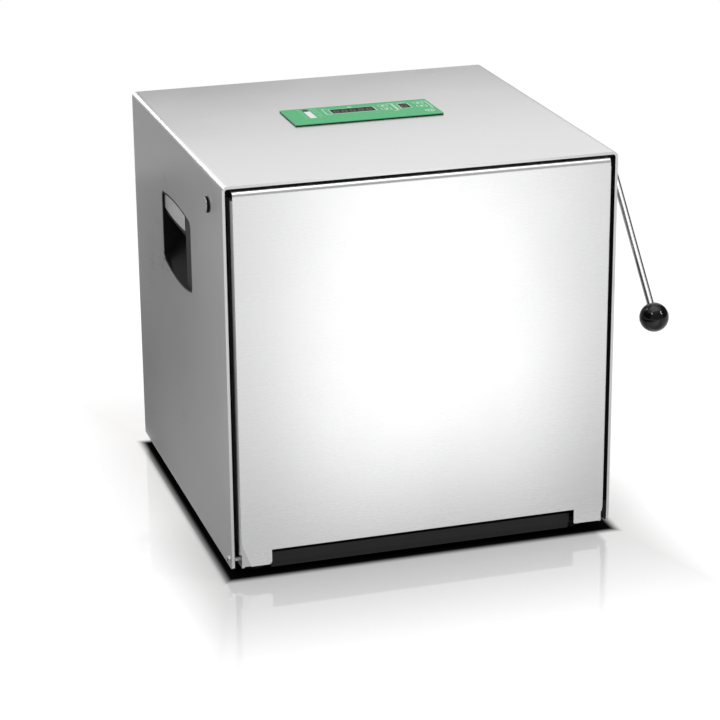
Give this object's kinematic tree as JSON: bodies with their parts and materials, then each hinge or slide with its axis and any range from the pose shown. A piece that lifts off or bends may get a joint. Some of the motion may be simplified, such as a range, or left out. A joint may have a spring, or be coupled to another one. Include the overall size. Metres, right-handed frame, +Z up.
{
  "type": "paddle blender homogenizer",
  "caption": "Laboratory paddle blender: steel cabinet with a fold-down door, side locking lever, bag chamber with reciprocating paddles and their crank drive.",
  "frame": {"origin": "middle of the whole object's footprint, on the bench", "axes": "+X to the right seen from the front, +Y from the door to the back, +Z up"},
  "size_m": [0.4804, 0.5126, 0.4482],
  "materials": {
    "cover_steel": "fine brushed stainless sheet",
    "door_steel": "bright satin stainless sheet",
    "tray_steel": "plain stainless sheet",
    "black_paint": "black powder coat",
    "chamber_steel": "polished stainless sheet",
    "screw_steel": "turned stainless",
    "polished_steel": "polished",
    "knob_black": "gloss black",
    "moulded_black": "moulded, fine texture",
    "lip_metal": "satin",
    "panel_film": "green printed film",
    "display_black": "dark window",
    "rubber_black": "matt",
    "cast_metal": "cast",
    "bronze": "turned bronze",
    "machined_steel": "ground steel",
    "motor_paint": "dark grey enamel",
    "board_green": "circuit board"
  },
  "bodies": {
    "root": {"base_pan": "black_paint", "chamber_liner": "chamber_steel", "control_backing": "moulded_black", "control_board": "board_green", "control_overlay": "panel_film", "cover_screws": "screw_steel", "display_modules": "display_black", "drive_belt": "rubber_black", "drive_frame": "cast_metal", "front_frame": "black_paint", "fuse_drawer": "moulded_black", "grip_lip_left": "lip_metal", "grip_lip_right": "lip_metal", "guide_bushes": "bronze", "handle_cup_left": "moulded_black", "handle_cup_right": "moulded_black", "hinge_pins": "screw_steel", "housing_cover": "cover_steel", "latch_bushes": "moulded_black", "motor": "motor_paint", "power_board": "board_green", "power_inlet": "moulded_black", "rear_cover": "cover_steel", "rod_seals": "rubber_black", "rubber_feet": "rubber_black", "shaft_bearings": "machined_steel"},
    "door": {"door_skin": "door_steel", "door_tray": "tray_steel", "door_back_panel": "tray_steel", "pressure_plate": "chamber_steel", "door_gasket": "rubber_black", "hinge_leaf_left": "tray_steel", "hinge_leaf_right": "tray_steel", "strikes": "screw_steel"},
    "latch": {"latch_shaft": "machined_steel", "hook_left": "machined_steel", "hook_right": "machined_steel", "lever_hub": "machined_steel", "lever_rod": "polished_steel", "ball_knob": "knob_black", "shaft_cap": "screw_steel"},
    "crank": {"crankshaft": "machined_steel", "crank_discs": "machined_steel", "crank_pulley": "cast_metal"},
    "link_left": {"link_left": "machined_steel"},
    "link_right": {"link_right": "machined_steel"},
    "paddle_left": {"paddle_left": "chamber_steel", "push_rods_left": "machined_steel", "crosshead_left": "machined_steel"},
    "paddle_right": {"paddle_right": "chamber_steel", "push_rods_right": "machined_steel", "crosshead_right": "machined_steel"},
    "motor_rotor": {"motor_shaft": "machined_steel", "motor_pulley": "cast_metal"},
    "rocker": {"rocker_switch": "moulded_black"},
    "key_time_up": {"key_time_up": "panel_film"},
    "key_time_down": {"key_time_down": "panel_film"},
    "key_speed_up": {"key_speed_up": "panel_film"},
    "key_speed_down": {"key_speed_down": "panel_film"},
    "key_start_stop": {"key_start_stop": "panel_film"}
  },
  "joints": [
    {"name": "door_hinge", "type": "hinge", "parent": "root", "child": "door", "pos_m": [-0.01717, -0.16722, 0.0217], "axis": [1, 0, 0], "range_deg": [0, 90]},
    {"name": "latch_turn", "type": "hinge", "parent": "root", "child": "latch", "pos_m": [-0.01717, -0.11402, 0.4097], "axis": [1, 0, 0], "range_deg": [-60, 15]},
    {"name": "crank_spin", "type": "hinge", "parent": "root", "child": "crank", "pos_m": [-0.01717, 0.07028, 0.215], "axis": [1, 0, 0], "continuous": true},
    {"name": "link_left_turn", "type": "hinge", "parent": "crank", "child": "link_left", "pos_m": [-0.09168, 0.07028, 0.224], "axis": [1, 0, 0], "continuous": true},
    {"name": "paddle_left_turn", "type": "hinge", "parent": "link_left", "child": "paddle_left", "pos_m": [-0.09168, 0.07028, 0.215], "axis": [1, 0, 0], "continuous": true},
    {"name": "link_right_turn", "type": "hinge", "parent": "crank", "child": "link_right", "pos_m": [0.05733, 0.07028, 0.206], "axis": [1, 0, 0], "continuous": true},
    {"name": "paddle_right_turn", "type": "hinge", "parent": "link_right", "child": "paddle_right", "pos_m": [0.05733, 0.07028, 0.215], "axis": [1, 0, 0], "continuous": true},
    {"name": "motor_spin", "type": "hinge", "parent": "root", "child": "motor_rotor", "pos_m": [-0.01717, 0.17028, 0.1], "axis": [1, 0, 0], "continuous": true},
    {"name": "rocker_tilt", "type": "hinge", "parent": "root", "child": "rocker", "pos_m": [-0.16717, 0.25078, 0.108], "axis": [1, 0, 0], "range_deg": [0, 14]},
    {"name": "key_time_up_press", "type": "slide", "parent": "root", "child": "key_time_up", "axis": [0, 0, 1], "range_m": [-0.0005, 0], "stiffness_N_per_m": 800, "springref_m": 0.0002},
    {"name": "key_time_down_press", "type": "slide", "parent": "root", "child": "key_time_down", "axis": [0, 0, 1], "range_m": [-0.0005, 0], "stiffness_N_per_m": 800, "springref_m": 0.0002},
    {"name": "key_speed_up_press", "type": "slide", "parent": "root", "child": "key_speed_up", "axis": [0, 0, 1], "range_m": [-0.0005, 0], "stiffness_N_per_m": 800, "springref_m": 0.0002},
    {"name": "key_speed_down_press", "type": "slide", "parent": "root", "child": "key_speed_down", "axis": [0, 0, 1], "range_m": [-0.0005, 0], "stiffness_N_per_m": 800, "springref_m": 0.0002},
    {"name": "key_start_stop_press", "type": "slide", "parent": "root", "child": "key_start_stop", "axis": [0, 0, 1], "range_m": [-0.0005, 0], "stiffness_N_per_m": 800, "springref_m": 0.0002}
  ],
  "couplings": [
    {"joint": "link_left_turn", "follows": "crank_spin", "ratio": -2},
    {"joint": "link_right_turn", "follows": "crank_spin", "ratio": -2},
    {"joint": "paddle_left_turn", "follows": "crank_spin", "ratio": 1},
    {"joint": "paddle_right_turn", "follows": "crank_spin", "ratio": 1},
    {"joint": "motor_spin", "follows": "crank_spin", "ratio": 2.8889}
  ]
}
